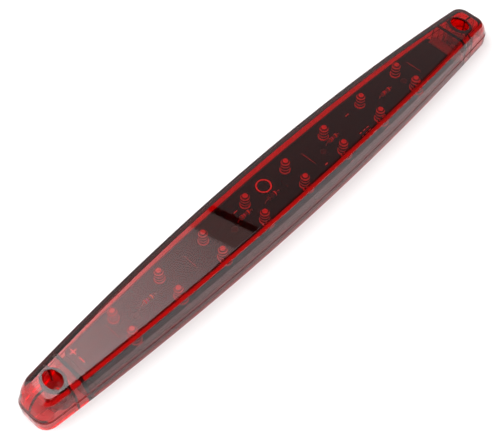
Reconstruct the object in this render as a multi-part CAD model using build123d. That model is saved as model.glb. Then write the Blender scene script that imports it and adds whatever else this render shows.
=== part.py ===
"""Third brake light: a boat-shaped clear red lens cover over a black board with sixteen LEDs.

Millimetres. +X runs along the lamp, +Z is the direction the light shines, and the origin
lies in the middle of the flat rear face that sits on the vehicle.
"""
import os
from build123d import *

# Overall size, from the rear mounting face
LENGTH = 334.0
WIDTH_MIDDLE = 36.8
WIDTH_END = 21.0
HEIGHT = 20.4
CORNER_RADIUS = 7.0

# The front face is an arc along the lamp: it falls by FACE_DROP over FACE_HALF_LENGTH.
# Round it runs a nearly flat bevel, and below that a steep shoulder.
FACE_HALF_LENGTH = 158.0
FACE_DROP = 3.9
BEVEL_ACROSS = 3.05
BEVEL_DOWN = 0.65
SHOULDER_ACROSS = 1.1
SHOULDER_DOWN = 4.0

# Lens cover
FLANGE_HEIGHT = 6.3
GROOVE_HEIGHT = 0.6
GROOVE_DEPTH = 0.7
BODY_INSET = 0.25
SIDE_DRAFT = 0.5          # how far each side leans in between the groove and the full height
END_SLOPE = 6.1           # how far each end leans in over the same height
WALL = 1.8
TOP_THICKNESS = 2.0
INNER_SHOULDER_ACROSS = 2.0
CHAMBER_HALF_LENGTH = 140.0
END_WALL = 1.8
LEDGE_HEIGHT = 3.0
LEDGE_WIDTH = 0.7

# Screw bosses
HOLE_SPACING = 300.0
HOLE_DIAMETER = 4.6
RECESS_LENGTH = 8.4       # along the lamp
RECESS_WIDTH = 11.6       # across it
RECESS_FLOOR = 5.0
BOSS_WALL = 1.6
WEB_THICKNESS = 1.2
CROSS_RIB_X = 147.4

# Rear plate
PLATE_RECESS = 1.0
BEAD_WIDTH = 0.5
BEAD_SWELL = 0.7          # how far the bead is squeezed out past the plate's rear face
POST_DIAMETER = 5.0
STAKE_DIAMETER = 2.0
STAKE_HEAD_DIAMETER = 3.8
STAKE_HEAD_HEIGHT = 1.0
STAKE_HEAD_ROUND = 0.8
POST_XS = [-99.5, -32.5, 34.5, 101.5]
RIB_Y = 9.0
RIB_THICKNESS = 1.2
RIB_HEIGHT = 1.5
RIB_LENGTH = 252.0

# Circuit board
BOARD_BOTTOM = 6.2
BOARD_THICKNESS = 1.6
BOARD_HALF_LENGTH = 136.0
BOARD_GAP = 0.3
BOARD_CORNER = 1.5
STAKE_HOLE = 2.4
LEAD_HOLE = 0.9

# LEDs, in two rows
LED_COLUMNS = 8
LED_PITCH = 30.0
LED_SHIFT = -3.0
LED_ROW_Y = 6.8
LED_DIAMETER = 5.0
LED_HEIGHT = 8.6
LED_FLANGE_DIAMETER = 5.8
LED_FLANGE_HEIGHT = 1.0
LED_FLAT = 2.5            # distance from the axis to the flat that marks the cathode

# Metal frame cast into each LED, measured above its foot
LEAD_WIDTH = 0.5
LEAD_SPACING = 2.54
LEAD_REACH = 2.6
CUP_DIAMETER = 1.8
CUP_BASE = 3.9
CUP_HEIGHT = 1.1
CUP_RECESS = 0.6
CUP_FLOOR_DIAMETER = 0.9
CUP_RIM = 0.1
ANODE_HEIGHT = 4.8

# Other parts on the board
RESISTOR_XS = [-90.0, -23.0, 44.0, 88.0]
RESISTOR_Y = 2.0
RESISTOR_LENGTH = 6.3
RESISTOR_DIAMETER = 2.5
RESISTOR_WAIST = 2.1
RESISTOR_CAP = 1.4
DIODE_X = -5.0
DIODE_LENGTH = 5.2
DIODE_DIAMETER = 2.7
AXIAL_LEAD_DIAMETER = 0.6
AXIAL_LEAD_PITCH = 10.2
AXIAL_BEND = 0.9
LEAD_GRIP = 0.5           # how far each lead reaches into an axial part
LINK_XS = [-113.0, -61.0, 25.5, 113.0]
LINK_Y = 2.5
LINK_HEIGHT = 0.7
PIN_SPACING = 4.0
PIN_DIAMETER = 0.8
PIN_HEIGHT = 2.6

# Clear sealant between the board's +X end and the end wall
SEALANT_OVERLAP = 2.8
SEALANT_TOP = 1.2
SEALANT_GAP = 0.2
SEALANT_SIDE_GAP = 1.5

# Cable inlet through the rear plate
INLET_X = 4.0
GROMMET_NECK = 8.0
GROMMET_FLANGE = 11.0
GROMMET_INNER_FLANGE = 1.2
CABLE_DIAMETER = 3.6

BOARD_TOP = BOARD_BOTTOM + BOARD_THICKNESS
BODY_BOTTOM = FLANGE_HEIGHT + GROOVE_HEIGHT
HOLE_X = HOLE_SPACING / 2
ARCH_RADIUS = (FACE_HALF_LENGTH**2 + FACE_DROP**2) / (2 * FACE_DROP)
BELOW = -5.0              # cuts that open downwards start here
PIN_YS = [-PIN_SPACING / 2, PIN_SPACING / 2]
LED_XS = [(i - (LED_COLUMNS - 1) / 2) * LED_PITCH + LED_SHIFT for i in range(LED_COLUMNS)]


# Shapes used by several parts

def half_width(x):
    """Half the width of the boat shape at x, where its long sides are circular arcs."""
    bulge = (WIDTH_MIDDLE - WIDTH_END) / 2
    radius = (LENGTH**2 / 4 + bulge**2) / (2 * bulge)
    return WIDTH_MIDDLE / 2 - radius + (radius**2 - x**2) ** 0.5


def boat(inset=0.0, corner=CORNER_RADIUS, half_length=None):
    """Plan outline: two long arcs, two straight ends and four rounded corners."""
    tip = half_length or LENGTH / 2 - inset
    middle = WIDTH_MIDDLE / 2 - inset
    end = half_width(min(tip + inset, LENGTH / 2)) - inset
    face = make_face([
        ThreePointArc((-tip, end), (0, middle), (tip, end)),
        Line((tip, end), (tip, -end)),
        ThreePointArc((tip, -end), (0, -middle), (-tip, -end)),
        Line((-tip, -end), (-tip, end)),
    ]).face()
    return face.fillet_2d(corner, face.vertices())


def slab(outline, bottom, top):
    return extrude(Pos(0, 0, bottom) * outline, top - bottom)


def rod(diameter, x, y, bottom, top):
    return Pos(x, y, (bottom + top) / 2) * Cylinder(diameter / 2, top - bottom)


def block(x_size, y_size, x, y, bottom, top):
    return Pos(x, y, (bottom + top) / 2) * Box(x_size, y_size, top - bottom)


def middle_stretch(half_length):
    """Everything closer than half_length to the middle of the lamp."""
    return block(2 * half_length, 2 * WIDTH_MIDDLE, 0, 0, 2 * BELOW, 2 * HEIGHT)


def under_arch(depth):
    """Everything below the arched front face, lowered by depth."""
    return Pos(0, 0, HEIGHT - depth - ARCH_RADIUS) * Rot(90, 0, 0) * Cylinder(ARCH_RADIUS, 2 * WIDTH_MIDDLE)


def drafted_body(thickness):
    """The leaning sides and ends above the groove, thickness in from their outside."""
    lower = boat(BODY_INSET + thickness, CORNER_RADIUS - thickness)
    upper = boat(BODY_INSET + SIDE_DRAFT + thickness, CORNER_RADIUS - thickness,
                 LENGTH / 2 - BODY_INSET - END_SLOPE - thickness)
    return loft([Pos(0, 0, BODY_BOTTOM) * lower, Pos(0, 0, HEIGHT) * upper], ruled=True)


def arched_face(body):
    return max(body.faces().filter_by(GeomType.CYLINDER), key=lambda face: face.area)


def cut_round_face(body, across, down):
    """A flat cut all round the arched face, across it and down the sides."""
    front = arched_face(body)
    return chamfer(front.edges(), across, down, reference=front)


def lens_outside():
    """Flange band, groove, drafted body, and the shoulder and bevel round the arched face."""
    body = drafted_body(0) & under_arch(0)
    body = cut_round_face(body, SHOULDER_ACROSS, SHOULDER_DOWN)
    body = cut_round_face(body, BEVEL_ACROSS, BEVEL_DOWN)
    groove = slab(boat(GROOVE_DEPTH, CORNER_RADIUS - GROOVE_DEPTH), FLANGE_HEIGHT, BODY_BOTTOM)
    return body + groove + slab(boat(), 0, FLANGE_HEIGHT)


def lens_inside():
    """Room inside the walls and under the front, open to the rear."""
    upper = drafted_body(WALL) & under_arch(TOP_THICKNESS)
    upper = cut_round_face(upper, INNER_SHOULDER_ACROSS, SHOULDER_DOWN)
    outline = boat(BODY_INSET + WALL, CORNER_RADIUS - WALL)
    return upper + slab(outline, BELOW, BODY_BOTTOM)


def plate_pocket(bottom, top, gap=0.0):
    """The wider rear end of the chamber, where the rear plate is let in against a ledge."""
    inset = BODY_INSET + WALL - LEDGE_WIDTH + gap
    return slab(boat(inset, BOARD_CORNER, CHAMBER_HALF_LENGTH - gap), bottom, top)


def oval_column(x, margin, bottom, top):
    """A column with the screw recess's oval section, grown by margin."""
    section = Ellipse(RECESS_LENGTH / 2 + margin, RECESS_WIDTH / 2 + margin)
    return slab(Pos(x, 0) * section, bottom, top)


# Sub-parts

def lens_cover():
    """Clear cover with a sealed chamber, and at each end a pocket with ribs round the screw boss."""
    inside = lens_inside()
    chamber = inside & middle_stretch(CHAMBER_HALF_LENGTH)
    ends = inside - middle_stretch(CHAMBER_HALF_LENGTH + END_WALL)
    web_length = LENGTH / 2 - HOLE_X
    for side in (-1, 1):
        web_x = side * (HOLE_X + web_length / 2)
        ends -= oval_column(side * HOLE_X, BOSS_WALL, 2 * BELOW, 2 * HEIGHT)
        ends -= block(web_length, WEB_THICKNESS, web_x, 0, 2 * BELOW, 2 * HEIGHT)
        ends -= block(WEB_THICKNESS, WIDTH_MIDDLE, side * CROSS_RIB_X, 0, 2 * BELOW, 2 * HEIGHT)
    cover = lens_outside() - chamber - ends - plate_pocket(BELOW, LEDGE_HEIGHT)
    for side in (-1, 1):
        cover -= rod(HOLE_DIAMETER, side * HOLE_X, 0, BELOW, 2 * HEIGHT)
        cover -= oval_column(side * HOLE_X, 0, RECESS_FLOOR, 2 * HEIGHT)
    return cover


def base_plate():
    """Rear plate with board posts, whose tips are melted into heads over the board."""
    plate = plate_pocket(PLATE_RECESS, LEDGE_HEIGHT, BEAD_WIDTH)
    for y in (-RIB_Y, RIB_Y):
        plate += block(RIB_LENGTH, RIB_THICKNESS, 0, y, LEDGE_HEIGHT, LEDGE_HEIGHT + RIB_HEIGHT)
    for x in POST_XS:
        head = rod(STAKE_HEAD_DIAMETER, x, 0, BOARD_TOP, BOARD_TOP + STAKE_HEAD_HEIGHT)
        head = fillet(head.edges().sort_by(Axis.Z)[-1], STAKE_HEAD_ROUND)
        plate += rod(POST_DIAMETER, x, 0, LEDGE_HEIGHT, BOARD_BOTTOM)
        plate += rod(STAKE_DIAMETER, x, 0, BOARD_BOTTOM, BOARD_TOP)
        plate += head
        plate += block(RIB_THICKNESS, 2 * RIB_Y, x, 0, LEDGE_HEIGHT, LEDGE_HEIGHT + RIB_HEIGHT)
    return plate - rod(GROMMET_NECK, INLET_X, 0, BELOW, LEDGE_HEIGHT)


def sealing_bead():
    """Adhesive that fills the gap between the rear plate's edge and the cover."""
    bead = plate_pocket(PLATE_RECESS - BEAD_SWELL, LEDGE_HEIGHT)
    return bead - plate_pocket(BELOW, HEIGHT, BEAD_WIDTH)


def cable_grommet():
    sleeve = rod(GROMMET_NECK, INLET_X, 0, PLATE_RECESS, LEDGE_HEIGHT)
    outer = rod(GROMMET_FLANGE, INLET_X, 0, 0, PLATE_RECESS)
    inner = rod(GROMMET_FLANGE, INLET_X, 0, LEDGE_HEIGHT, LEDGE_HEIGHT + GROMMET_INNER_FLANGE)
    return sleeve + outer + inner - rod(CABLE_DIAMETER, INLET_X, 0, BELOW, HEIGHT)


def circuit_board():
    outline = boat(BODY_INSET + WALL + BOARD_GAP, BOARD_CORNER, BOARD_HALF_LENGTH)
    board = slab(outline, BOARD_BOTTOM, BOARD_TOP)
    holes = [rod(STAKE_HOLE, x, 0, BELOW, HEIGHT) for x in POST_XS]
    for x in LED_XS:
        for y in (-LED_ROW_Y, LED_ROW_Y):
            holes += [rod(LEAD_HOLE, x + end * LEAD_SPACING / 2, y, BELOW, HEIGHT) for end in (-1, 1)]
    for end in (-AXIAL_LEAD_PITCH / 2, AXIAL_LEAD_PITCH / 2):
        holes += [rod(LEAD_HOLE, x + end, RESISTOR_Y, BELOW, HEIGHT) for x in RESISTOR_XS]
        holes += [rod(LEAD_HOLE, x, LINK_Y + end, BELOW, HEIGHT) for x in LINK_XS]
        holes.append(rod(LEAD_HOLE, DIODE_X + end, 0, BELOW, HEIGHT))
    holes += [rod(LEAD_HOLE, INLET_X, y, BELOW, HEIGHT) for y in PIN_YS]
    return board - holes


def led_frame():
    """Metal inside one LED and its two leads: the anode post and the cathode with its cup."""
    post_x = LEAD_SPACING / 2
    anode = block(LEAD_WIDTH, LEAD_WIDTH, post_x, 0, -LEAD_REACH, ANODE_HEIGHT)
    cathode = block(LEAD_WIDTH, LEAD_WIDTH, -post_x, 0, -LEAD_REACH, CUP_BASE + LEAD_WIDTH)
    cathode += block(post_x, LEAD_WIDTH, -post_x / 2, 0, CUP_BASE, CUP_BASE + LEAD_WIDTH)
    cup = rod(CUP_DIAMETER, 0, 0, CUP_BASE, CUP_BASE + CUP_HEIGHT)
    recess_z = CUP_BASE + CUP_HEIGHT - CUP_RECESS / 2
    cup -= Pos(0, 0, recess_z) * Cone(CUP_FLOOR_DIAMETER / 2, CUP_DIAMETER / 2 - CUP_RIM, CUP_RECESS)
    return [anode, cathode + cup]


def led_body(frame):
    """Epoxy of one LED, cast round its metal frame."""
    radius = LED_DIAMETER / 2
    body = rod(LED_DIAMETER, 0, 0, 0, LED_HEIGHT - radius)
    body += Pos(0, 0, LED_HEIGHT - radius) * Sphere(radius)
    flange = rod(LED_FLANGE_DIAMETER, 0, 0, 0, LED_FLANGE_HEIGHT)
    flange -= block(LED_FLANGE_DIAMETER, LED_FLANGE_DIAMETER,
                    -LED_FLAT - LED_FLANGE_DIAMETER / 2, 0, BELOW, HEIGHT)
    return body + flange - frame


def lead_wire(points):
    """A round wire along straight runs with bent corners."""
    path = FilletPolyline(*points, radius=AXIAL_BEND)
    section = Plane(origin=path @ 0, z_dir=path % 0) * Circle(AXIAL_LEAD_DIAMETER / 2)
    return sweep(section, path)


def axial_part(x, y, length, diameter, waist, cap):
    """A part lying along the board on two bent leads, with raised ends when cap is given."""
    height = BOARD_TOP + diameter / 2
    body = Pos(x, y, height) * Rot(0, 90, 0) * Cylinder(waist / 2, length)
    for end in (-1, 1):
        if cap:
            end_x = x + end * (length - cap) / 2
            body += Pos(end_x, y, height) * Rot(0, 90, 0) * Cylinder(diameter / 2, cap)
        reach = x + end * AXIAL_LEAD_PITCH / 2
        start = x + end * (length / 2 - LEAD_GRIP)
        body += lead_wire([(start, y, height), (reach, y, height), (reach, y, BOARD_TOP - LEAD_REACH)])
    return body


def wire_links():
    """Bare wire staples across the board, one for each string of four LEDs."""
    half = AXIAL_LEAD_PITCH / 2
    foot, top = BOARD_TOP - LEAD_REACH, BOARD_TOP + LINK_HEIGHT
    links = []
    for x in LINK_XS:
        near, far = LINK_Y - half, LINK_Y + half
        links.append(lead_wire([(x, near, foot), (x, near, top), (x, far, top), (x, far, foot)]))
    return Compound(links)


def wire_pins():
    bottom, top = BOARD_TOP - LEAD_REACH, BOARD_TOP + PIN_HEIGHT
    return Compound([rod(PIN_DIAMETER, INLET_X, y, bottom, top) for y in PIN_YS])


def end_sealant():
    """Sealant that fills the gap at the board's +X end and laps over its edge."""
    start, stop = BOARD_HALF_LENGTH + SEALANT_GAP, CHAMBER_HALF_LENGTH - SEALANT_GAP
    width = 2 * (half_width(stop) - BODY_INSET - WALL - SEALANT_SIDE_GAP)
    top = BOARD_TOP + SEALANT_TOP
    fill = block(stop - start, width, (start + stop) / 2, 0, LEDGE_HEIGHT, top)
    lap_start = BOARD_HALF_LENGTH - SEALANT_OVERLAP
    return fill + block(stop - lap_start, width, (lap_start + stop) / 2, 0, BOARD_TOP, top)


def save(name, shape):
    export_step(shape, f"parts/{name}.step")


def main():
    os.makedirs("parts", exist_ok=True)
    save("lens_cover", lens_cover())
    save("base_plate", base_plate())
    save("sealing_bead", sealing_bead())
    save("cable_grommet", cable_grommet())
    save("circuit_board", circuit_board())

    frame = led_frame()
    body = led_body(frame)
    frames = []
    for row, y in enumerate((LED_ROW_Y, -LED_ROW_Y)):
        for column, x in enumerate(LED_XS):
            place = Pos(x, y, BOARD_TOP)
            save(f"led_{row * LED_COLUMNS + column + 1:02d}", place * body)
            frames += [place * piece for piece in frame]
    save("led_leadframes", Compound(frames))

    for number, x in enumerate(RESISTOR_XS, 1):
        resistor = axial_part(x, RESISTOR_Y, RESISTOR_LENGTH, RESISTOR_DIAMETER, RESISTOR_WAIST, RESISTOR_CAP)
        save(f"resistor_{number}", resistor)
    save("polarity_diode", axial_part(DIODE_X, 0, DIODE_LENGTH, DIODE_DIAMETER, DIODE_DIAMETER, None))
    save("wire_links", wire_links())
    save("wire_pins", wire_pins())
    save("end_sealant", end_sealant())


main()
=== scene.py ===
"""Looks for the third brake light: clear red lens over a black board with sixteen LEDs.

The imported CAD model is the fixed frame. Lengths are millimetres, turned into metres by MM
where a mesh is made. The camera and the lamps are placed in metres, as their comments say.
"""
import math

import bpy
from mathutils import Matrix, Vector


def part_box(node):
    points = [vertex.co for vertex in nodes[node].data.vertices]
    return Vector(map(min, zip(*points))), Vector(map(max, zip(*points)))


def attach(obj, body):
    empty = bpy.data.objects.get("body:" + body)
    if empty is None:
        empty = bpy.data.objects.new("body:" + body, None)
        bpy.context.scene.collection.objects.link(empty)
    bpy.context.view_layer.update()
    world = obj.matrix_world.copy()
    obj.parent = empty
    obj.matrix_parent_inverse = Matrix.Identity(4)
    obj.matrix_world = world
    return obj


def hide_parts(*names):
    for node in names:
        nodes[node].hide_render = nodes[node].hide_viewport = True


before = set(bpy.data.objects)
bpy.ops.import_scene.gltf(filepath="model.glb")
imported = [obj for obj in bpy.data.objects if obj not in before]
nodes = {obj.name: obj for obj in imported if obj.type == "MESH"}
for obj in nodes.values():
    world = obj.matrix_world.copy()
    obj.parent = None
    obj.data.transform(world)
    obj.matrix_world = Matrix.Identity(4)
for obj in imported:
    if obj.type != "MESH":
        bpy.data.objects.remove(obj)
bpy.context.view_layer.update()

MM = 0.001

# Sizes from the CAD frame
lens_low, lens_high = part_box("lens_cover")
board_low, board_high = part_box("circuit_board")
LENGTH = (lens_high.x - lens_low.x) / MM
HEIGHT = lens_high.z / MM
BOARD_TOP = board_high.z / MM

# Lens cover: the CAD's driving dimensions, except SHOULDER_DOWN, which is 4.0 in the CAD
WIDTH_MIDDLE = 36.8
WIDTH_END = 21.0
CORNER_RADIUS = 7.0
FACE_HALF_LENGTH = 158.0
FACE_DROP = 3.9
BEVEL_ACROSS = 3.05
BEVEL_DOWN = 0.65
SHOULDER_ACROSS = 1.1
SHOULDER_DOWN = 4.6
EDGE_ROUND = 0.3
RIM_BREAK = 0.08
CREASE_RADIUS = 2.4
CREST_RADIUS = 0.6
END_CREST_RADIUS = 0.8
KNEE_RADIUS = 3.0
FLANGE_HEIGHT = 6.3
GROOVE_HEIGHT = 0.6
GROOVE_DEPTH = 0.7
BODY_INSET = 0.25
SIDE_DRAFT = 0.5
END_SLOPE = 6.1
WALL = 1.8
TOP_THICKNESS = 2.0
INNER_SHOULDER_ACROSS = 2.0
INNER_ROUND = 0.5
CHAMBER_HALF_LENGTH = 140.0
END_WALL = 1.8
LEDGE_HEIGHT = 3.0
LEDGE_WIDTH = 0.7
POCKET_CORNER = 1.5
HOLE_X = 150.0
HOLE_DIAMETER = 4.6
RECESS_LENGTH = 8.4
RECESS_WIDTH = 11.6
RECESS_FLOOR = 5.0
BOSS_WALL = 1.6
WEB_THICKNESS = 1.2
CROSS_RIB_X = 147.4
BODY_BOTTOM = FLANGE_HEIGHT + GROOVE_HEIGHT
ARCH_RADIUS = (FACE_HALF_LENGTH**2 + FACE_DROP**2) / (2 * FACE_DROP)
LENS_SHARP_ANGLE = 13

# Heights that cutting tools reach, well past the lamp
TOOL_BELOW = -5
TOOL_FOOT = -10
TOOL_TOP = 30

# LEDs
LED_COLUMNS = 8
LED_DIAMETER = 5.0
LED_HEIGHT = 8.6
LED_FLANGE_DIAMETER = 5.8
LED_FLANGE_HEIGHT = 1.0
LED_FOOT_EDGE = 0.15
LED_FOOT_STEP = 0.02
LED_DOME_STEPS = 18
# Painted shade on the LED bodies: (bottom, top) heights of dark rings that stand for the bands lensing draws
LED_PAINTED_SHADE_LINES = [(1.1, 2.3), (3.3, 4.7), (5.7, 6.8), (7.6, 8.2)]

# Mesh density of the lens outline, in points for a quarter of it
SIDE_POINTS = 60
CORNER_POINTS = 14
END_POINTS = 4
ROUND_STEPS = 6

# Printed marks on the board: (x, y) places, and (x, y, length) dashes
RING_DIAMETER = 8.6
RING_PLACE = (-3.0, 8.0)
PLUS_PLACE = (-132.6, 7.8)
MINUS_PLACE = (-132.6, 1.8)
SIGN_SIZE = 4.0
INK_WIDTH = 0.8
DASHES = [(-24.5, 7.3, 2.4), (29.7, -6.2, 2.0), (61.8, 7.2, 2.4), (57.6, -6.0, 1.6), (60.4, -6.0, 1.6),
          (63.2, -6.0, 1.6)]
DASH_WIDTH = 0.4
INK_BOTTOM = 0.01
INK_TOP = 0.06

# Sealant: divisions along, across and up, and how it narrows and sinks
SEALANT_ALONG = 9
SEALANT_ACROSS = 27
SEALANT_RINGS = 6
SEALANT_NARROWING = 0.06
SEALANT_SINK = 0.7

# Rings of colour: (share of the length, colour)
TIN = (0.2, 0.19, 0.18)
RESISTOR_BLUE = (0.05, 0.16, 0.24)
RESISTOR_BANDS = [(0.0, TIN), (0.08, RESISTOR_BLUE), (0.17, (0.60, 0.03, 0.02)), (0.26, RESISTOR_BLUE),
                  (0.36, (0.45, 0.12, 0.55)), (0.44, RESISTOR_BLUE), (0.52, (0.12, 0.05, 0.02)),
                  (0.60, RESISTOR_BLUE), (0.74, (0.65, 0.45, 0.12)), (0.83, RESISTOR_BLUE), (0.92, TIN)]
DIODE_BLACK = (0.02, 0.02, 0.02)
DIODE_BANDS = [(0.0, TIN), (0.1, DIODE_BLACK), (0.72, (0.6, 0.6, 0.58)), (0.82, DIODE_BLACK), (0.9, TIN)]
RESISTOR_LENGTH = 7.0
DIODE_LENGTH = 6.4

# Clear red plastic
LENS_SHADOW_TINT = (0.85, 0.12, 0.12)
LENS_VOLUME_COLOUR = (0.942, 0.0, 0.0)
LENS_VOLUME_DENSITY = 2500
LENS_ROUGHNESS = 0.02
LENS_IOR = 1.49

# Camera: focal length and sensor in millimetres, angles in degrees, distance and target in metres
SENSOR_WIDTH = 36.0
CAMERA_FOCAL = 76.1
CAMERA_AZIMUTH = -46.6
CAMERA_ELEVATION = 56.46
CAMERA_DISTANCE = 0.5396
CAMERA_TARGET = Vector((-0.0202, 0.0013, 0.0))

# Lamps: name, place in metres, width in metres, power in watts
LAMPS = [("key", (-0.8, -0.5, 1.3), 1.6, 14),
         ("fill", (0.7, -1.0, 1.3), 1.6, 16),
         ("back", (-1.1, 0.9, 1.3), 1.8, 20)]

# Soft box overhead, whose end slants: its end passes through (SOFT_BOX_END_X, SOFT_BOX_END_Y)
CARD_HEIGHT = 600.0
SOFT_BOX_LOW_Y = 60.0
SOFT_BOX_HIGH_Y = 325.0
SOFT_BOX_END_X = 184.0
SOFT_BOX_END_Y = 274.0
SOFT_BOX_SLANT = 0.27
SOFT_BOX_LENGTH = 330.0
SOFT_BOX_RIM = 35.0
SOFT_BOX_FRAME = 11.0
SOFT_BOX_FADE_START = -120.0
SOFT_BOX_FADE_END = 190.0
SOFT_BOX_BRIGHT = 5.6
SOFT_BOX_FADED = 1.7
SOFT_BOX_RIM_STRENGTH = 0.75
SOFT_BOX_RIM_COLOUR = (1.0, 0.92, 0.88)

# Floor
FLOOR_HALF_SIZE = 4000
FLOOR_LEVEL = -0.05
FLOOR_COLOUR = (0.86, 0.86, 0.86)
FLOOR_ROUGHNESS = 0.8
FLOOR_GLOW = 0.12

# Room light, from dim (in front and overhead) to pale (behind)
ROOM_LEAN = -0.6
ROOM_DIM = 0.12
ROOM_DIM_UNTIL = 0.35
ROOM_PALE = 0.9
ROOM_PALE_FROM = 0.65


# ---------------------------------------------------------------- mesh helpers

def new_object(name, vertices, faces, smooth_below=None):
    """A mesh object from points in millimetres."""
    mesh = bpy.data.meshes.new(name)
    mesh.from_pydata([[c * MM for c in v] for v in vertices], [], faces)
    mesh.validate()
    item = bpy.data.objects.new(name, mesh)
    bpy.context.scene.collection.objects.link(item)
    if smooth_below:
        shade(item, smooth_below)
    return item


def shade(item, smooth_below):
    """Smooth shading, with edges sharper than smooth_below degrees kept crisp."""
    mesh = item.data
    mesh.polygons.foreach_set("use_smooth", [True] * len(mesh.polygons))
    mesh.set_sharp_from_angle(angle=math.radians(smooth_below))


def apply_modifiers(item):
    graph = bpy.context.evaluated_depsgraph_get()
    baked = bpy.data.meshes.new_from_object(item.evaluated_get(graph))
    old = item.data
    item.modifiers.clear()
    item.data = baked
    bpy.data.meshes.remove(old)


def combine(item, tool, operation):
    """Exact boolean of item with tool, which is then removed."""
    step = item.modifiers.new(operation, "BOOLEAN")
    step.operation = operation
    step.solver = "EXACT"
    step.object = tool
    apply_modifiers(item)
    mesh = tool.data
    bpy.data.objects.remove(tool)
    bpy.data.meshes.remove(mesh)


def block(low, high, name="tool"):
    xs, ys, zs = zip(low, high)
    vertices = [(x, y, z) for x in xs for y in ys for z in zs]
    faces = [(0, 1, 3, 2), (4, 6, 7, 5), (0, 4, 5, 1), (2, 3, 7, 6), (0, 2, 6, 4), (1, 5, 7, 3)]
    return new_object(name, vertices, faces)


def lathe(profile, centre=(0, 0, 0), steps=64, name="tool", smooth_below=None, y_stretch=1.0):
    """A solid turned round a vertical axis. The profile is (radius, height), from foot to top."""
    vertices, faces, rings = [], [], []
    for radius, height in profile:
        if radius < 1e-6:
            rings.append([len(vertices)])
            vertices.append((centre[0], centre[1], centre[2] + height))
            continue
        rings.append(list(range(len(vertices), len(vertices) + steps)))
        for i in range(steps):
            angle = 2 * math.pi * i / steps
            vertices.append((centre[0] + radius * math.cos(angle),
                             centre[1] + radius * y_stretch * math.sin(angle), centre[2] + height))
    faces += bridge(rings)
    for ring, way in ((rings[0], -1), (rings[-1], 1)):
        if len(ring) > 1:
            faces.append(ring[::way])
    return new_object(name, vertices, faces, smooth_below)


def bridge(rings):
    """Quads between each ring of point numbers and the next, or triangles to a single point."""
    faces = []
    for lower, upper in zip(rings, rings[1:]):
        count = max(len(lower), len(upper))
        for i in range(count):
            j = (i + 1) % count
            if len(lower) == 1:
                faces.append((lower[0], upper[j], upper[i]))
            elif len(upper) == 1:
                faces.append((lower[i], lower[j], upper[0]))
            else:
                faces.append((lower[i], lower[j], upper[j], upper[i]))
    return faces


# ---------------------------------------------------------------- boat-shaped outlines

def side_radius(middle, end, tip):
    bulge = middle - end
    return (tip**2 + bulge**2) / (2 * bulge)


def half_width(x):
    middle = WIDTH_MIDDLE / 2
    radius = side_radius(middle, WIDTH_END / 2, LENGTH / 2)
    return middle - radius + math.sqrt(radius**2 - x**2)


def outline(inset=0.0, corner=CORNER_RADIUS, tip=None):
    """Points of the boat shape, anticlockwise, with their outward directions."""
    tip = tip or LENGTH / 2 - inset
    middle = WIDTH_MIDDLE / 2 - inset
    end = half_width(min(tip + inset, LENGTH / 2)) - inset
    radius = side_radius(middle, end, tip)
    centre_y = middle - radius
    corner_x = tip - corner
    corner_y = centre_y + math.sqrt((radius - corner)**2 - corner_x**2)
    lean = math.atan2(corner_y - centre_y, corner_x)
    quarter = [(tip, corner_y * i / END_POINTS, 1.0, 0.0) for i in range(END_POINTS)]
    for i in range(CORNER_POINTS + 1):
        angle = lean * i / CORNER_POINTS
        c, s = math.cos(angle), math.sin(angle)
        quarter.append((corner_x + corner * c, corner_y + corner * s, c, s))
    for i in range(1, SIDE_POINTS + 1):
        angle = lean + (math.pi / 2 - lean) * i / SIDE_POINTS
        c, s = math.cos(angle), math.sin(angle)
        quarter.append((radius * c, centre_y + radius * s, c, s))
    half = quarter + [(-x, y, -nx, ny) for x, y, nx, ny in quarter[-2::-1]]
    return half + [(x, -y, nx, -ny) for x, y, nx, ny in half[-2:0:-1]]


def arch(x, depth=0.0):
    """Height of the arched front at x, lowered by depth."""
    return HEIGHT - depth - ARCH_RADIUS + math.sqrt(ARCH_RADIUS**2 - x**2)


def on_arch(point, depth=0.0):
    """The point moved up or down onto the arched front, lowered by depth."""
    return Vector((point.x, point.y, arch(point.x, depth)))


def level(points, height):
    return [(x, y, height) for x, y, _, _ in points]


def drafted_top(depth, lower, upper):
    """Where each line up the leaning sides meets the arched front: (point, outward way, way down)."""
    met = []
    for (x0, y0, _, _), (x1, y1, nx, ny) in zip(lower, upper):
        share = 1.0
        for _ in range(6):
            x = x0 + (x1 - x0) * share
            share = (arch(x, depth) - BODY_BOTTOM) / (HEIGHT - BODY_BOTTOM)
        x, y = x0 + (x1 - x0) * share, y0 + (y1 - y0) * share
        met.append((Vector((x, y, arch(x, depth))), Vector((nx, ny, 0)),
                    Vector((x0 - x, y0 - y, BODY_BOTTOM - arch(x, depth))).normalized()))
    return met


def rounded(start, knee, finish, radius, steps=ROUND_STEPS):
    """Points of the arc of that radius that rounds the knee between two straight runs."""
    a, b = (start - knee).normalized(), (finish - knee).normalized()
    half = a.angle(b) / 2
    reach = radius / math.tan(half)
    centre = knee + (a + b).normalized() * (radius / math.sin(half))
    first, last = knee + a * reach - centre, knee + b * reach - centre
    sweep = first.angle(last)
    arc = []
    for i in range(steps + 1):
        share = i / steps
        arc.append(centre + (first * math.sin((1 - share) * sweep) + last * math.sin(share * sweep))
                   / math.sin(sweep))
    return arc


def close_top(rings, columns):
    """Faces across the last ring, strip by strip along the lamp, so that it can arch."""
    ring, half = rings[-1], columns // 2
    turn = END_POINTS + CORNER_POINTS // 2
    faces = [tuple(ring[i % columns] for i in range(-turn, turn + 1))]
    for i in range(turn, half - turn):
        faces.append((ring[i], ring[i + 1], ring[(columns - i - 1) % columns], ring[(columns - i) % columns]))
    faces.append(tuple(ring[i] for i in range(half - turn, half + turn + 1)))
    return faces


def stack(name, loops):
    """A closed solid from rings of points, flat below and arched across the last ring."""
    columns = len(loops[0])
    vertices = [point for loop in loops for point in loop]
    rings = [list(range(k * columns, (k + 1) * columns)) for k in range(len(loops))]
    faces = bridge(rings) + [tuple(reversed(rings[0]))] + close_top(rings, columns)
    return new_object(name, vertices, faces)


# ---------------------------------------------------------------- lens cover

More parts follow.
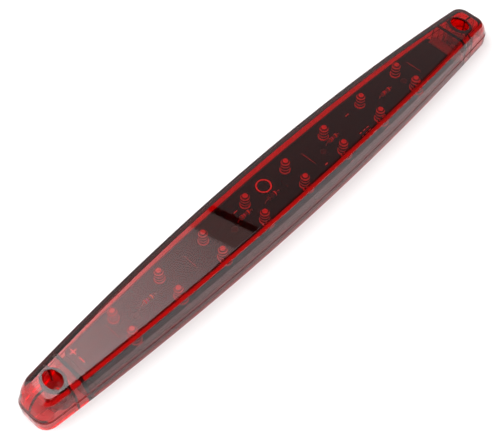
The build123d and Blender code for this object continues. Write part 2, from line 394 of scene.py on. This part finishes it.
def lens_outside():
    """Flange band, groove, steep sides, shoulder, bevel and arched face."""
    lower = outline(BODY_INSET)
    upper = outline(BODY_INSET + SIDE_DRAFT, CORNER_RADIUS, LENGTH / 2 - BODY_INSET - END_SLOPE)
    edge = outline(EDGE_ROUND, CORNER_RADIUS - EDGE_ROUND)
    skirt = outline()
    groove = outline(GROOVE_DEPTH, CORNER_RADIUS - GROOVE_DEPTH)
    loops = [
        level(outline(RIM_BREAK, CORNER_RADIUS - RIM_BREAK), 0),
        level(skirt, RIM_BREAK),
        level(skirt, FLANGE_HEIGHT - EDGE_ROUND),
        level(outline(EDGE_ROUND * 0.3, CORNER_RADIUS), FLANGE_HEIGHT - EDGE_ROUND * 0.3),
        level(edge, FLANGE_HEIGHT),
        level(groove, FLANGE_HEIGHT),
        level(groove, BODY_BOTTOM),
        level(lower, BODY_BOTTOM + 0.05),
    ]
    columns = []
    for corner, outward, down in drafted_top(0, lower, upper):
        knee = corner + down * SHOULDER_DOWN
        brow = on_arch(corner - outward * SHOULDER_ACROSS)
        crest = brow + (knee - brow).normalized() * BEVEL_DOWN
        crease = on_arch(brow - outward * BEVEL_ACROSS)
        inner = on_arch(crease - outward * BEVEL_ACROSS)
        crest_radius = CREST_RADIUS + (END_CREST_RADIUS - CREST_RADIUS) * outward.x**2
        columns.append(rounded(knee + down, knee, crest, KNEE_RADIUS)
                       + rounded(knee, crest, crease, crest_radius)
                       + rounded(crest, crease, inner, CREASE_RADIUS))
    loops += [[tuple(column[k]) for column in columns] for k in range(len(columns[0]))]
    return stack("lens", loops)


def lens_hollow():
    """Room inside the walls: the sealed chamber and the two open end pockets."""
    lower = outline(BODY_INSET + WALL, CORNER_RADIUS - WALL)
    upper = outline(BODY_INSET + SIDE_DRAFT + WALL, CORNER_RADIUS - WALL,
                    LENGTH / 2 - BODY_INSET - END_SLOPE - WALL)
    loops = [level(lower, TOOL_BELOW), level(lower, BODY_BOTTOM)]
    columns = []
    for corner, outward, down in drafted_top(TOP_THICKNESS, lower, upper):
        knee = corner + down * SHOULDER_DOWN
        brow = on_arch(corner - outward * INNER_SHOULDER_ACROSS, TOP_THICKNESS)
        inner = on_arch(brow - outward, TOP_THICKNESS)
        columns.append(rounded(knee + down, knee, brow, INNER_ROUND, 2)
                       + rounded(knee, brow, inner, INNER_ROUND, 3))
    loops += [[tuple(column[k]) for column in columns] for k in range(len(columns[0]))]
    hollow = stack("hollow", loops)
    for side in (-1, 1):
        combine(hollow, slice_across(side, CHAMBER_HALF_LENGTH, CHAMBER_HALF_LENGTH + END_WALL), "DIFFERENCE")
        combine(hollow, oval_column(side, BOSS_WALL, TOOL_FOOT), "DIFFERENCE")
        combine(hollow, slice_across(side, HOLE_X, LENGTH / 2, WEB_THICKNESS / 2), "DIFFERENCE")
        start = CROSS_RIB_X - WEB_THICKNESS / 2
        combine(hollow, slice_across(side, start, start + WEB_THICKNESS), "DIFFERENCE")
    return hollow


def slice_across(side, start, stop, half_thickness=TOOL_TOP):
    """A block between two distances from the middle, on the side of the lamp given by the sign."""
    near, far = sorted((side * start, side * stop))
    return block((near, -half_thickness, TOOL_FOOT), (far, half_thickness, TOOL_TOP))


def oval_column(side, margin, bottom):
    """A column with the screw recess's oval section, grown by margin."""
    length, width = RECESS_LENGTH / 2 + margin, RECESS_WIDTH / 2 + margin
    profile = [(length, bottom), (length, TOOL_TOP)]
    return lathe(profile, (side * HOLE_X, 0, 0), 96, y_stretch=width / length)


def make_lens():
    lens = lens_outside()
    combine(lens, lens_hollow(), "DIFFERENCE")
    pocket = outline(BODY_INSET + WALL - LEDGE_WIDTH, POCKET_CORNER, CHAMBER_HALF_LENGTH)
    combine(lens, stack("pocket", [level(pocket, TOOL_BELOW), level(pocket, LEDGE_HEIGHT)]), "DIFFERENCE")
    for side in (-1, 1):
        hole = HOLE_DIAMETER / 2
        combine(lens, lathe([(hole, TOOL_BELOW), (hole, TOOL_TOP)], (side * HOLE_X, 0, 0)), "DIFFERENCE")
        combine(lens, oval_column(side, 0, RECESS_FLOOR), "DIFFERENCE")
    shade(lens, LENS_SHARP_ANGLE)
    weigh = lens.modifiers.new("weigh", "WEIGHTED_NORMAL")
    weigh.keep_sharp = True
    weigh.weight = 100
    apply_modifiers(lens)
    return lens


# ---------------------------------------------------------------- LEDs

def led_profile():
    """The body's (radius, height) outline, with a point at each edge of a painted shade line below the dome.
    """
    radius, foot = LED_DIAMETER / 2, LED_FLANGE_DIAMETER / 2
    profile = [(foot - LED_FOOT_EDGE, 0), (foot, LED_FOOT_EDGE), (foot, LED_FLANGE_HEIGHT - LED_FOOT_EDGE),
               (foot - LED_FOOT_EDGE, LED_FLANGE_HEIGHT), (radius, LED_FLANGE_HEIGHT + LED_FOOT_STEP)]
    edges = [edge for line in LED_PAINTED_SHADE_LINES for edge in line]
    profile += [(radius, edge) for edge in edges if edge < LED_HEIGHT - radius]
    profile.append((radius, LED_HEIGHT - radius))
    for i in range(1, LED_DOME_STEPS):
        angle = math.pi / 2 * i / LED_DOME_STEPS
        profile.append((radius * math.cos(angle), LED_HEIGHT - radius + radius * math.sin(angle)))
    profile.append((0, LED_HEIGHT))
    return profile


def make_leds(bright, dark):
    """Epoxy bodies in place of the CAD ones, with painted shade: dark rings stand for the bands that lensing
    draws.
    """
    for number in range(1, 2 * LED_COLUMNS + 1):
        node = f"led_{number:02d}"
        low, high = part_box(node)
        centre = (high.x / MM - LED_FLANGE_DIAMETER / 2, (low.y + high.y) / 2 / MM, low.z / MM)
        led = lathe(led_profile(), centre, 40, f"{node}_epoxy", 35)
        paint(led, bright)
        # The second material is painted shade, for the dark bands that lensing draws in the epoxy
        led.data.materials.append(dark)
        for face in led.data.polygons:
            height = face.center.z / MM - centre[2]
            face.material_index = any(bottom < height < top for bottom, top in LED_PAINTED_SHADE_LINES)
        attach(led, "root")
        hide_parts(node)


# ---------------------------------------------------------------- materials

def material(name):
    made = bpy.data.materials.new(name)
    made.use_nodes = True
    tree = made.node_tree
    shader = tree.nodes["Principled BSDF"]
    return made, tree, shader


def clear_plastic(name, shadow_tint, volume_colour, density, roughness, ior):
    """Clear coloured plastic that lets light from the lamps through, tinted at each surface."""
    made, tree, shader = material(name)
    shader.inputs["Base Color"].default_value = (1, 1, 1, 1)
    shader.inputs["Roughness"].default_value = roughness
    shader.inputs["IOR"].default_value = ior
    shader.inputs["Transmission Weight"].default_value = 1.0
    out = tree.nodes["Material Output"]
    path = tree.nodes.new("ShaderNodeLightPath")
    clear = tree.nodes.new("ShaderNodeBsdfTransparent")
    clear.inputs["Color"].default_value = (*shadow_tint, 1)
    mix = tree.nodes.new("ShaderNodeMixShader")
    tree.links.new(path.outputs["Is Shadow Ray"], mix.inputs[0])
    tree.links.new(shader.outputs[0], mix.inputs[1])
    tree.links.new(clear.outputs[0], mix.inputs[2])
    tree.links.new(mix.outputs[0], out.inputs["Surface"])
    absorb = tree.nodes.new("ShaderNodeVolumeAbsorption")
    absorb.inputs["Color"].default_value = (*volume_colour, 1)
    absorb.inputs["Density"].default_value = density
    tree.links.new(absorb.outputs[0], out.inputs["Volume"])
    return made


def solid_plastic(name, colour, roughness, grain=0.0, grain_scale=2000.0):
    made, tree, shader = material(name)
    shader.inputs["Base Color"].default_value = (*colour, 1)
    noise = tree.nodes.new("ShaderNodeTexNoise")
    noise.inputs["Scale"].default_value = grain_scale
    noise.inputs["Detail"].default_value = 4
    spread = tree.nodes.new("ShaderNodeMapRange")
    spread.inputs["To Min"].default_value = roughness * 0.8
    spread.inputs["To Max"].default_value = roughness * 1.25
    tree.links.new(noise.outputs["Fac"], spread.inputs["Value"])
    tree.links.new(spread.outputs[0], shader.inputs["Roughness"])
    if grain:
        bump = tree.nodes.new("ShaderNodeBump")
        bump.inputs["Strength"].default_value = grain
        bump.inputs["Distance"].default_value = 0.0001
        tree.links.new(noise.outputs["Fac"], bump.inputs["Height"])
        tree.links.new(bump.outputs[0], shader.inputs["Normal"])
    return made


def mottled_painted_light(name, dark, pale, roughness):
    """Uneven colour from noise, with painted light: the pale patches stand for light gathering in the lumps.
    """
    made = solid_plastic(name, dark, roughness, 0.6, 500)
    tree = made.node_tree
    noise = next(node for node in tree.nodes if node.bl_idname == "ShaderNodeTexNoise")
    ramp = tree.nodes.new("ShaderNodeValToRGB")
    elements = ramp.color_ramp.elements
    elements[0].position, elements[0].color = 0.45, (*dark, 1)
    elements[1].position, elements[1].color = 0.68, (*pale, 1)
    tree.links.new(noise.outputs["Fac"], ramp.inputs[0])
    tree.links.new(ramp.outputs[0], tree.nodes["Principled BSDF"].inputs["Base Color"])
    return made


def metal(name, colour, roughness):
    made = solid_plastic(name, colour, roughness, 0.1)
    made.node_tree.nodes["Principled BSDF"].inputs["Metallic"].default_value = 1.0
    return made


def paint(item, look):
    item.data.materials.clear()
    item.data.materials.append(look)


# ---------------------------------------------------------------- studio

def glowing(name, strength, colour=(1, 1, 1)):
    made, tree, shader = material(name)
    tree.nodes.remove(shader)
    glow = tree.nodes.new("ShaderNodeEmission")
    glow.inputs["Color"].default_value = (*colour, 1)
    glow.inputs["Strength"].default_value = strength
    tree.links.new(glow.outputs[0], tree.nodes["Material Output"].inputs["Surface"])
    return made, tree, glow


def area_light(name, place, size, power):
    """A square lamp that points at the middle of the model."""
    data = bpy.data.lights.new(name, "AREA")
    data.energy = power
    data.size = size
    item = bpy.data.objects.new(name, data)
    bpy.context.scene.collection.objects.link(item)
    item.location = place
    item.rotation_euler = (-Vector(place)).to_track_quat("-Z", "Y").to_euler()


def make_camera():
    a, e = math.radians(CAMERA_AZIMUTH), math.radians(CAMERA_ELEVATION)
    back = Vector((math.sin(a) * math.cos(e), -math.cos(a) * math.cos(e), math.sin(e)))
    data = bpy.data.cameras.new("camera")
    data.lens = CAMERA_FOCAL
    data.sensor_width = SENSOR_WIDTH
    data.clip_start, data.clip_end = 0.01, 100
    item = bpy.data.objects.new("camera", data)
    bpy.context.scene.collection.objects.link(item)
    item.location = CAMERA_TARGET + back * CAMERA_DISTANCE
    item.rotation_euler = (-back).to_track_quat("-Z", "Y").to_euler()
    bpy.context.scene.camera = item


def card(name, corners, look):
    """A flat glowing panel above the lamp, which its front mirrors."""
    item = new_object(name, [(x, y, CARD_HEIGHT) for x, y in corners], [tuple(range(len(corners)))])
    paint(item, look)


def edge_x(y, across=0.0):
    """Where the soft box's slanting end lies at y, moved along the lamp by across."""
    return SOFT_BOX_END_X + across - SOFT_BOX_SLANT * (y - SOFT_BOX_END_Y)


def band(name, start, stop, look):
    """A panel that follows the soft box's slanting end."""
    low, high = SOFT_BOX_LOW_Y, SOFT_BOX_HIGH_Y
    card(name, [(edge_x(low, start), low), (edge_x(low, stop), low),
                (edge_x(high, stop), high), (edge_x(high, start), high)], look)


def floor_paper():
    """Plain white paper, the same all over."""
    made, tree, shader = material("floor_paper")
    shader.inputs["Base Color"].default_value = (*FLOOR_COLOUR, 1)
    shader.inputs["Roughness"].default_value = FLOOR_ROUGHNESS
    shader.inputs["Emission Color"].default_value = (1, 1, 1, 1)
    shader.inputs["Emission Strength"].default_value = FLOOR_GLOW
    return made


def make_floor():
    # It lies a hair below the rear rim, because light inside the rim turns back at its lower face
    half = FLOOR_HALF_SIZE
    corners = [(-half, -half), (half, -half), (half, half), (-half, half)]
    floor = new_object("floor", [(x, y, FLOOR_LEVEL) for x, y in corners], [(0, 1, 2, 3)])
    paint(floor, floor_paper())


def make_soft_box():
    """A panel whose mirror image covers the near half of the front, with a dim rim and a black frame."""
    look, tree, glow = glowing("soft_box_glow", 1.0)
    place = tree.nodes.new("ShaderNodeTexCoord")
    split = tree.nodes.new("ShaderNodeSeparateXYZ")
    fall = tree.nodes.new("ShaderNodeMapRange")
    fall.inputs["From Min"].default_value = SOFT_BOX_FADE_START * MM
    fall.inputs["From Max"].default_value = SOFT_BOX_FADE_END * MM
    fall.inputs["To Min"].default_value = SOFT_BOX_BRIGHT
    fall.inputs["To Max"].default_value = SOFT_BOX_FADED
    tree.links.new(place.outputs["Object"], split.inputs[0])
    tree.links.new(split.outputs["X"], fall.inputs["Value"])
    tree.links.new(fall.outputs[0], glow.inputs["Strength"])
    rim, _, _ = glowing("soft_box_rim_glow", SOFT_BOX_RIM_STRENGTH, SOFT_BOX_RIM_COLOUR)
    frame_black = solid_plastic("soft_box_frame_black", (0.01, 0.01, 0.01), 0.8)
    band("soft_box", -SOFT_BOX_LENGTH, 0.0, look)
    band("soft_box_rim", 0.0, SOFT_BOX_RIM, rim)
    band("soft_box_frame", SOFT_BOX_RIM, SOFT_BOX_RIM + SOFT_BOX_FRAME, frame_black)


def make_room():
    """World light: a dim room in front of the lamp and overhead, and a pale wall behind it."""
    world = bpy.data.worlds.new("studio")
    bpy.context.scene.world = world
    world.use_nodes = True
    tree = world.node_tree
    sky = tree.nodes["Background"]
    place = tree.nodes.new("ShaderNodeTexCoord")
    split = tree.nodes.new("ShaderNodeSeparateXYZ")
    lean = tree.nodes.new("ShaderNodeMath")
    lean.operation = "MULTIPLY_ADD"
    lean.inputs[1].default_value = ROOM_LEAN
    share = tree.nodes.new("ShaderNodeMath")
    share.operation = "MULTIPLY_ADD"
    share.inputs[1].default_value = 0.5
    share.inputs[2].default_value = 0.5
    ramp = tree.nodes.new("ShaderNodeValToRGB")
    dim, pale = ramp.color_ramp.elements
    dim.position, dim.color = ROOM_DIM_UNTIL, (ROOM_DIM, ROOM_DIM, ROOM_DIM, 1)
    pale.position, pale.color = ROOM_PALE_FROM, (ROOM_PALE, ROOM_PALE, ROOM_PALE, 1)
    tree.links.new(place.outputs["Generated"], split.inputs[0])
    tree.links.new(split.outputs["Z"], lean.inputs[0])
    tree.links.new(split.outputs["Y"], lean.inputs[2])
    tree.links.new(lean.outputs[0], share.inputs[0])
    tree.links.new(share.outputs[0], ramp.inputs[0])
    tree.links.new(ramp.outputs[0], sky.inputs["Color"])
    sky.inputs["Strength"].default_value = 1.0


# ---------------------------------------------------------------- printed marks and sealant

def flat_bar(x, y, x_size, y_size):
    low = (x - x_size / 2, y - y_size / 2, BOARD_TOP + INK_BOTTOM)
    return block(low, (x + x_size / 2, y + y_size / 2, BOARD_TOP + INK_TOP))


def make_marks(look):
    """Plain marks in white ink on the board: a ring, a plus, a minus and a few dashes."""
    outer, inner = RING_DIAMETER / 2, RING_DIAMETER / 2 - INK_WIDTH
    marks = lathe([(outer, INK_BOTTOM), (outer, INK_TOP)], (*RING_PLACE, BOARD_TOP), 72, "board_marks")
    combine(marks, lathe([(inner, -1), (inner, 1)], (*RING_PLACE, BOARD_TOP), 72), "DIFFERENCE")
    bars = [(*PLUS_PLACE, SIGN_SIZE, INK_WIDTH), (*PLUS_PLACE, INK_WIDTH, SIGN_SIZE),
            (*MINUS_PLACE, INK_WIDTH, SIGN_SIZE)]
    bars += [(x, y, length, DASH_WIDTH) for x, y, length in DASHES]
    for bar in bars:
        combine(marks, flat_bar(*bar), "UNION")
    paint(marks, look)
    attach(marks, "root")


def make_sealant(look):
    """Lumpy cured sealant at the board's far end."""
    low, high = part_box("end_sealant")
    xs, ys, top = SEALANT_ALONG, SEALANT_ACROSS, SEALANT_RINGS
    vertices, rings = [], []
    size = (high - low) / MM
    for k in range(top):
        ring = []
        loop = ([(i / xs, 0) for i in range(xs)] + [(1, j / ys) for j in range(ys)]
                + [(1 - i / xs, 1) for i in range(xs)] + [(0, 1 - j / ys) for j in range(ys)])
        for u, v in loop:
            inward = SEALANT_NARROWING * (k / (top - 1))**2
            x = low.x / MM + size.x * (inward + u * (1 - 2 * inward))
            y = low.y / MM + size.y * (inward + v * (1 - 2 * inward))
            lump = 0.35 * math.sin(1.9 * y + 2.0 * x) + 0.25 * math.sin(3.7 * y - 1.1 * x + 1)
            z = low.z / MM + (size.z - SEALANT_SINK + lump * k / (top - 1)) * k / (top - 1)
            ring.append(len(vertices))
            vertices.append((x, y, z))
        rings.append(ring)
    faces = bridge(rings) + [tuple(reversed(rings[0]))] + [tuple(rings[-1])]
    sealant = new_object("end_sealant_lumps", vertices, faces, 40)
    paint(sealant, look)
    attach(sealant, "root")
    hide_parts("end_sealant")


def banded(name, centre, length, stops, roughness):
    """Painted rings round a part that lies along the lamp: (share of the length, colour) stops."""
    made, tree, shader = material(name)
    shader.inputs["Roughness"].default_value = roughness
    place = tree.nodes.new("ShaderNodeTexCoord")
    split = tree.nodes.new("ShaderNodeSeparateXYZ")
    spread = tree.nodes.new("ShaderNodeMapRange")
    spread.inputs["From Min"].default_value = (centre - length / 2) * MM
    spread.inputs["From Max"].default_value = (centre + length / 2) * MM
    ramp = tree.nodes.new("ShaderNodeValToRGB")
    ramp.color_ramp.interpolation = "CONSTANT"
    elements = ramp.color_ramp.elements
    elements.remove(elements[1])
    elements[0].position, elements[0].color = stops[0][0], (*stops[0][1], 1)
    for position, colour in stops[1:]:
        elements.new(position).color = (*colour, 1)
    tree.links.new(place.outputs["Object"], split.inputs[0])
    tree.links.new(split.outputs["X"], spread.inputs["Value"])
    tree.links.new(spread.outputs[0], ramp.inputs[0])
    tree.links.new(ramp.outputs[0], shader.inputs["Base Color"])
    return made


# ---------------------------------------------------------------- assembly

bpy.context.scene.view_settings.view_transform = "Standard"

lens = make_lens()
lens.name = "lens_cover_clear"
paint(lens, clear_plastic("lens_red", LENS_SHADOW_TINT, LENS_VOLUME_COLOUR, LENS_VOLUME_DENSITY,
                          LENS_ROUGHNESS, LENS_IOR))
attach(lens, "root")
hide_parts("lens_cover")

led_look = solid_plastic("led_epoxy", (0.55, 0.07, 0.06), 0.15)
# The dark epoxy is painted shade, for the bands that lensing draws in the LEDs
make_leds(led_look, solid_plastic("led_epoxy_painted_shade", (0.05, 0.006, 0.005), 0.15))
make_marks(solid_plastic("board_ink", (0.85, 0.82, 0.80), 0.6))
# The clear sealant's pale patches are painted light
make_sealant(mottled_painted_light("clear_sealant", (0.04, 0.03, 0.03), (0.6, 0.5, 0.5), 0.3))

board_look = solid_plastic("board_black", (0.004, 0.006, 0.006), 0.35, 0.2, 1500)
board_look.node_tree.nodes["Principled BSDF"].inputs["Specular IOR Level"].default_value = 0.12
paint(nodes["circuit_board"], board_look)
paint(nodes["base_plate"], solid_plastic("plate_black", (0.015, 0.015, 0.015), 0.5, 0.3))
paint(nodes["sealing_bead"], solid_plastic("adhesive_black", (0.012, 0.012, 0.012), 0.4, 0.5))
paint(nodes["cable_grommet"], solid_plastic("grommet_rubber", (0.02, 0.02, 0.02), 0.6, 0.4))
for node in ("led_leadframes", "wire_links", "wire_pins"):
    paint(nodes[node], metal(f"{node}_tin", (0.25, 0.245, 0.235), 0.25))
for number in range(1, 5):
    node = f"resistor_{number}"
    low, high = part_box(node)
    paint(nodes[node], banded(f"{node}_bands", (low.x + high.x) / 2 / MM, RESISTOR_LENGTH,
                              RESISTOR_BANDS, 0.35))
low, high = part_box("polarity_diode")
paint(nodes["polarity_diode"], banded("diode_bands", (low.x + high.x) / 2 / MM, DIODE_LENGTH,
                                       DIODE_BANDS, 0.4))

make_camera()
make_floor()
make_soft_box()
for lamp in LAMPS:
    area_light(*lamp)
make_room()
